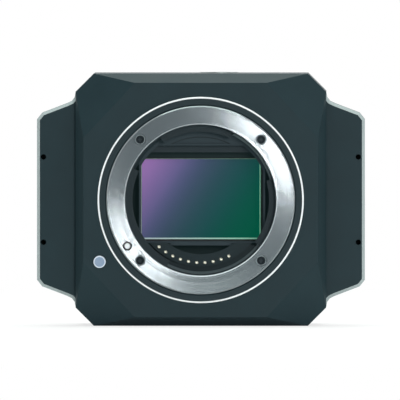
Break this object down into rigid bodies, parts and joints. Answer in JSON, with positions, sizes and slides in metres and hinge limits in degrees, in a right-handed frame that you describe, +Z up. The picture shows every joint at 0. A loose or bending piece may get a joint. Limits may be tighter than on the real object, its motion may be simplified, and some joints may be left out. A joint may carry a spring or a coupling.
{
  "type": "aerial survey camera",
  "caption": "Octagonal metal survey camera body without a lens: bayonet mount with release button, image sensor behind an open focal plane shutter, mounting ears and finned rear cover.",
  "frame": {"origin": "centre of the lens mount's front face, on the optical axis", "axes": "+Z up, +X to the right as seen from the front, +Y back into the camera along the optical axis"},
  "size_m": [0.1, 0.0434, 0.0772],
  "materials": {
    "housing_black": "fine bead-blasted black coat",
    "cover_black": "fine bead-blasted black coat",
    "mount_metal": "lathe-turned",
    "bezel_black": "satin black",
    "trim_pale": "bright anodised",
    "screw_black": "black oxide",
    "claw_black": "satin black",
    "spring_steel": "plain",
    "pin_steel": "polished",
    "button_metal": "satin",
    "baffle_black": "matt black",
    "carrier_black": "moulded",
    "contact_gold": "gold plated",
    "flex_brown": "polyimide film",
    "shutter_black": "matt black",
    "blade_black": "matt black coat",
    "arm_steel": "plain",
    "motor_steel": "plain",
    "frame_alloy": "machined, black anodised",
    "filter_glass": "coated",
    "chip_silicon": "iridescent",
    "package_ceramic": "fired ceramic",
    "board_green": "solder mask",
    "pad_grey": "soft",
    "plain_alloy": "milled",
    "chip_black": "moulded",
    "shield_tin": "tin plated",
    "socket_steel": "plated",
    "socket_black": "moulded",
    "gasket_rubber": "soft",
    "power_black": "satin",
    "light_clear": "frosted",
    "insert_steel": "turned"
  },
  "bodies": {
    "camera": {"bayonet_claw_ring": "claw_black", "bayonet_springs": "spring_steel", "board_spacers": "plain_alloy", "card_socket": "socket_steel", "chassis_screws": "screw_black", "contact_block": "carrier_black", "contact_flex": "flex_brown", "front_housing": "housing_black", "heat_spreader": "plain_alloy", "housing_gasket": "gasket_rubber", "io_board": "board_green", "io_screws": "screw_black", "io_spacers": "plain_alloy", "lens_mount_ring": "mount_metal", "light_baffle": "baffle_black", "lock_pin_spring": "spring_steel", "main_board": "board_green", "mount_bezel_ring": "bezel_black", "mount_screws": "screw_black", "mount_trim_ring": "trim_pale", "power_socket": "socket_black", "power_switch": "socket_black", "processor_and_memory": "chip_black", "processor_pad": "pad_grey", "rear_cover": "cover_black", "rear_cover_screws": "screw_black", "release_button_spring": "spring_steel", "sensor_board": "board_green", "sensor_board_screws": "arm_steel", "sensor_die": "chip_silicon", "sensor_filter_glass": "filter_glass", "sensor_frame": "frame_alloy", "sensor_package": "package_ceramic", "shield_can": "shield_tin", "shutter_base_plate": "shutter_black", "shutter_cover_plate": "shutter_black", "shutter_middle_plate": "shutter_black", "shutter_motor": "motor_steel", "shutter_pivot_posts": "arm_steel", "status_light_pipe": "light_clear", "thermal_pad": "pad_grey", "top_thread_insert": "insert_steel", "trigger_socket": "socket_black", "usb_socket": "socket_steel", "video_socket": "socket_steel"},
    "lens_release": {"lens_release_button": "button_metal", "release_plate": "arm_steel", "lens_lock_pin": "pin_steel"},
    "contact_pins": {"contact_pins": "contact_gold"},
    "power_button": {"power_button": "power_black"},
    "first_curtain_drive_arm": {"first_curtain_drive_arm": "arm_steel"},
    "first_curtain_guide_arm": {"first_curtain_guide_arm": "arm_steel"},
    "first_curtain_lead_blade": {"first_curtain_lead_blade": "blade_black"},
    "first_curtain_second_blade": {"first_curtain_second_blade": "blade_black"},
    "first_curtain_third_blade": {"first_curtain_third_blade": "blade_black"},
    "second_curtain_drive_arm": {"second_curtain_drive_arm": "arm_steel"},
    "second_curtain_guide_arm": {"second_curtain_guide_arm": "arm_steel"},
    "second_curtain_lead_blade": {"second_curtain_lead_blade": "blade_black"},
    "second_curtain_second_blade": {"second_curtain_second_blade": "blade_black"},
    "second_curtain_third_blade": {"second_curtain_third_blade": "blade_black"}
  },
  "joints": [
    {"name": "lens_release_slide", "type": "slide", "parent": "camera", "child": "lens_release", "axis": [0, 1, 0], "range_m": [0, 0.0015], "stiffness_N_per_m": 400, "springref_m": -0.002, "deforming": ["release_button_spring", "lock_pin_spring"]},
    {"name": "contact_pins_slide", "type": "slide", "parent": "camera", "child": "contact_pins", "axis": [0, 1, 0], "range_m": [0, 0.0005], "stiffness_N_per_m": 800, "springref_m": -0.0004},
    {"name": "power_button_slide", "type": "slide", "parent": "camera", "child": "power_button", "axis": [0, -1, 0], "range_m": [0, 0.0005], "stiffness_N_per_m": 800, "springref_m": -0.0006},
    {"name": "first_curtain_drive_arm_swing", "type": "hinge", "parent": "camera", "child": "first_curtain_drive_arm", "pos_m": [-0.033, 0.0122, 0.003], "axis": [0, 1, 0], "range_deg": [0, 110], "stiffness_Nm_per_rad": 0.001, "springref_deg": -57.3},
    {"name": "first_curtain_guide_arm_swing", "type": "hinge", "parent": "camera", "child": "first_curtain_guide_arm", "pos_m": [-0.033, 0.0122, 0.009], "axis": [0, 1, 0], "range_deg": [0, 110]},
    {"name": "first_curtain_lead_blade_pivot", "type": "hinge", "parent": "first_curtain_drive_arm", "child": "first_curtain_lead_blade", "pos_m": [-0.02388, 0.0125, 0.01603], "axis": [0, 1, 0], "range_deg": [-110, 0]},
    {"name": "first_curtain_second_blade_pivot", "type": "hinge", "parent": "first_curtain_drive_arm", "child": "first_curtain_second_blade", "pos_m": [-0.02692, 0.0125, 0.01168], "axis": [0, 1, 0], "range_deg": [-110, 0]},
    {"name": "first_curtain_third_blade_pivot", "type": "hinge", "parent": "first_curtain_drive_arm", "child": "first_curtain_third_blade", "pos_m": [-0.02979, 0.0125, 0.00759], "axis": [0, 1, 0], "range_deg": [-110, 0]},
    {"name": "second_curtain_drive_arm_swing", "type": "hinge", "parent": "camera", "child": "second_curtain_drive_arm", "pos_m": [-0.033, 0.0122, -0.003], "axis": [0, -1, 0], "range_deg": [0, 110], "stiffness_Nm_per_rad": 0.001, "springref_deg": -57.3},
    {"name": "second_curtain_guide_arm_swing", "type": "hinge", "parent": "camera", "child": "second_curtain_guide_arm", "pos_m": [-0.033, 0.0122, -0.009], "axis": [0, -1, 0], "range_deg": [0, 110]},
    {"name": "second_curtain_lead_blade_pivot", "type": "hinge", "parent": "second_curtain_drive_arm", "child": "second_curtain_lead_blade", "pos_m": [-0.02388, 0.0125, -0.01603], "axis": [0, -1, 0], "range_deg": [-110, 0]},
    {"name": "second_curtain_second_blade_pivot", "type": "hinge", "parent": "second_curtain_drive_arm", "child": "second_curtain_second_blade", "pos_m": [-0.02692, 0.0125, -0.01168], "axis": [0, -1, 0], "range_deg": [-110, 0]},
    {"name": "second_curtain_third_blade_pivot", "type": "hinge", "parent": "second_curtain_drive_arm", "child": "second_curtain_third_blade", "pos_m": [-0.02979, 0.0125, -0.00759], "axis": [0, -1, 0], "range_deg": [-110, 0]}
  ],
  "couplings": [
    {"joint": "first_curtain_guide_arm_swing", "follows": "first_curtain_drive_arm_swing", "ratio": 1},
    {"joint": "first_curtain_lead_blade_pivot", "follows": "first_curtain_drive_arm_swing", "ratio": -1},
    {"joint": "first_curtain_second_blade_pivot", "follows": "first_curtain_drive_arm_swing", "ratio": -1},
    {"joint": "first_curtain_third_blade_pivot", "follows": "first_curtain_drive_arm_swing", "ratio": -1},
    {"joint": "second_curtain_guide_arm_swing", "follows": "second_curtain_drive_arm_swing", "ratio": 1},
    {"joint": "second_curtain_lead_blade_pivot", "follows": "second_curtain_drive_arm_swing", "ratio": -1},
    {"joint": "second_curtain_second_blade_pivot", "follows": "second_curtain_drive_arm_swing", "ratio": -1},
    {"joint": "second_curtain_third_blade_pivot", "follows": "second_curtain_drive_arm_swing", "ratio": -1}
  ]
}
